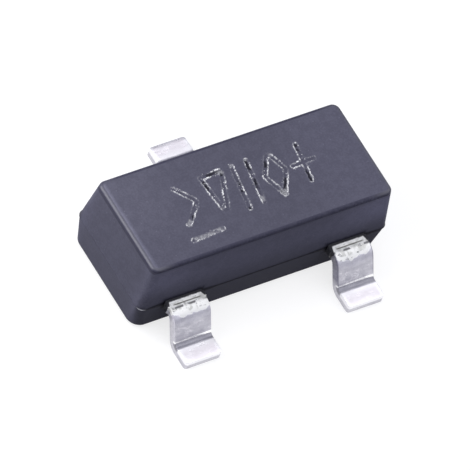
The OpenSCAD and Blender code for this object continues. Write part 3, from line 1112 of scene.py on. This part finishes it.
# Bends a flat strip twice: down over the shoulder, and back level into the foot
def makeFormTree(settings):
    tree, source = newGeometryTree("gullWingForming", {}, settings)
    start, bendR, footR, angle, leg, middle = (source[name] for name in list(settings)[:6])
    place = addNode(tree, "GeometryNodeInputPosition").outputs[0]
    x, along, up = split(place)
    onUpper = calc("GREATER_THAN", up, 0)

    # A line across the upper face, pressed in while the strip is flat
    def lineAcross(name):
        at, half, size = (source[name + part] for part in (" Place", " Half", " Size"))
        return times(ramp(calc("DIVIDE", away(along, at), half), 1, 0), onUpper, size)

    reach, fade = source["Clamp Reach"], source["Clamp Fade"]
    toEnd = ramp(calc("ABSOLUTE", x), plus(reach, fade), minus(reach, fade))
    up = minus(minus(up, times(lineAcross("Clamp"), toEnd)), lineAcross("Heel"))

    def upTo(value, limit):
        return calc("MINIMUM", most(value, 0), limit)

    def sinAndCos(value):
        return calc("SINE", value), calc("COSINE", value)

    # Lengths used up in each stretch: shoulder bend, leg, foot bend, foot
    bendLong, footLong = times(bendR, angle), times(footR, angle)
    past = minus(along, start)
    afterBend = minus(past, bendLong)
    afterLeg = minus(afterBend, leg)
    inLeg = upTo(afterBend, leg)
    beyond = most(minus(afterLeg, footLong), 0)
    level = calc("MINIMUM", along, start)
    turned = calc("DIVIDE", upTo(past, bendLong), bendR)
    undone = calc("DIVIDE", upTo(afterLeg, footLong), footR)
    sinTurned, cosTurned = sinAndCos(turned)
    sinSlope, cosSlope = sinAndCos(minus(turned, undone))
    sinAngle, cosAngle = sinAndCos(angle)
    sinLeft, cosLeft = sinAndCos(minus(angle, undone))

    # Middle line of the strip, stretch by stretch
    out = plus(level, times(bendR, sinTurned), times(inLeg, cosAngle), beyond,
               times(footR, minus(sinAngle, sinLeft)))
    fall = plus(times(bendR, minus(1, cosTurned)), times(inLeg, sinAngle),
                times(footR, minus(cosLeft, cosAngle)))
    bent = addNode(tree, "ShaderNodeCombineXYZ", {
        "X": x, "Y": plus(out, times(up, sinSlope)),
        "Z": plus(minus(middle, fall), times(up, cosSlope))})
    kept = addNode(tree, "GeometryNodeStoreNamedAttribute", {
        "Geometry": source["Geometry"], "Name": "stripPlace", "Value": place},
        data_type="FLOAT_VECTOR", domain="POINT")
    return endTree(tree, source["Material"], {
        "Geometry": kept.outputs[0], "Position": bent.outputs[0]})


def makeLeads(material):
    s = leadShape
    settings = formSettings()
    tree = makeFormTree(settings)
    settings["Material"] = material
    outer = bodyHigh.y - s["postCover"]
    for name, node, side in (("left_lead", "lead_1", -1), ("right_lead", "lead_2", 1)):
        low, high = boxInMm(node)
        inner = -high.y
        holeX = side * s["postWide"] / 4
        lead = stampBlank(name, s["postWide"] / 2, inner, outer, (holeX, (inner + outer) / 2))
        runTree(lead, tree, settings)
        lead.data.transform(Matrix.Translation(((low.x + high.x) / 2, 0, 0))
                            @ Matrix.Scale(-1, 4, (0, 1, 0)))
        lead.data.flip_normals()
        fitPiece(lead, [node], 40)
    low, high = boxInMm("lead_3")
    lead = stampBlank("back_lead", high.x, low.y, -low.y)
    runTree(lead, tree, settings)
    fitPiece(lead, ["lead_3"], 40)


# Floor, lamps and camera

stageLook = {
    "floorColor": (0.32, 0.32, 0.325),
    "floorGlow": 0.74,  # within the shadow's reach; farther off it is white
    "shadowReach": (5, 16),
    "worldLight": 0.29,
    "worldColor": (0.78, 0.81, 1),
    "floorHalf": 600,
    "lampAim": (0, 0, 0.5),
}

# Each lamp: where it stands round the object, how far, how wide, and how bright its panel is
lamps = {
    "topPanel": {"azimuth": 66, "elevation": 70, "distance": 14, "size": 26, "bright": 1.18},
    "leftPanel": {"azimuth": -117, "elevation": 32, "distance": 7, "size": 7, "bright": 3.2},
}

cameraPlace = {
    "azimuth": -48.358,
    "elevation": 51.648,
    "roll": 22.551,
    "viewWide": 4.6042,
    "lens": 1000,
    "sensor": 36,
    "aim": (-0.079, -0.1754, 0.3811),
}


def outwards(azimuth, elevation):
    a, e = radians(azimuth), radians(elevation)
    return Vector((sin(a) * cos(e), -cos(a) * cos(e), sin(e)))


def makeFloor():
    work = bmesh.new()
    bmesh.ops.create_grid(work, x_segments=1, y_segments=1, size=stageLook["floorHalf"] * mm)
    floor = meshObject("floor", work)
    material, tree, shader, place = newMaterial("paleFloor")
    path = addNode(tree, "ShaderNodeLightPath").outputs
    glow = stageLook["floorGlow"]
    near, far = stageLook["shadowReach"]
    white = ramp(vectorCalc("LENGTH", place), near * mm, far * mm, glow, 1)
    mirrored = most(path["Is Glossy Ray"], path["Is Transmission Ray"])
    fill(shader, {
        "Base Color": stageLook["floorColor"],
        "Roughness": 0.9,
        "Specular IOR Level": 0.1,
        "Emission Color": (1, 1, 1),
        "Emission Strength": most(times(path["Is Camera Ray"], white), times(mirrored, glow)),
    })
    floor.data.materials.append(material)


def makeWorld():
    world = bpy.data.worlds.new("studio")
    world.use_nodes = True
    tree = world.node_tree
    path = addNode(tree, "ShaderNodeLightPath").outputs
    seen = most(path["Is Camera Ray"], path["Is Transmission Ray"])
    level = stageLook["worldLight"]
    fill(tree.nodes["Background"], {
        "Strength": plus(times(seen, 1 - level), level),
        "Color": mixColor(seen, stageLook["worldColor"], (1, 1, 1)),
    })
    bpy.context.scene.world = world


def makeLamps():
    aim = Vector(stageLook["lampAim"]) * mm
    for name, lamp in lamps.items():
        light = bpy.data.lights.new(name, "AREA")
        light.shape = "SQUARE"
        light.size = lamp["size"] * mm
        light.energy = lamp["bright"] * pi * light.size ** 2
        obj = newObject(name, light)
        way = outwards(lamp["azimuth"], lamp["elevation"])
        obj.location = aim + way * lamp["distance"] * mm
        obj.rotation_euler = way.to_track_quat("Z", "Y").to_euler()


def makeCamera():
    c = cameraPlace
    data = bpy.data.cameras.new("camera")
    data.lens = c["lens"]
    data.sensor_width = c["sensor"]
    distance = c["viewWide"] * mm * c["lens"] / c["sensor"]
    data.clip_start, data.clip_end = distance * 0.1, distance * 20
    camera = newObject("camera", data)
    way = outwards(c["azimuth"], c["elevation"])
    camera.location = Vector(c["aim"]) * mm + way * distance
    turn = Matrix.Rotation(radians(c["roll"]), 3, "Z")
    camera.rotation_euler = (way.to_track_quat("Z", "Y").to_matrix() @ turn).to_euler()
    bpy.context.scene.camera = camera


makeFloor()
makeWorld()
makeLamps()
makeCamera()
bpy.context.scene.view_settings.view_transform = "Standard"
say("floor, lamps and camera")

compound = makeCompound()
tin = makeTin()
dressNode("die", makeSilicon())
dressNode("die_attach", makeAdhesive())
gold = makeGold()
for wire in ("bond_wire_1", "bond_wire_2", "bond_wire_3"):
    dressNode(wire, gold)
say("materials")

body = buildBlock()
innerNodes = ["lead_1", "lead_2", "lead_3", "die_attach", "die",
              "bond_wire_1", "bond_wire_2", "bond_wire_3"]
subtract(body, cadCutter(innerNodes))
strokes = drawStrokes()
runTree(body, makeEtchTree(), {**etchSettings, "Strokes": strokes, "Material": compound})
bpy.data.objects.remove(strokes)
fitPiece(body, ["mould_body"])
say("moulded body and its marks")

makeLeads(tin)
say("leads")

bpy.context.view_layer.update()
say("sizes written")
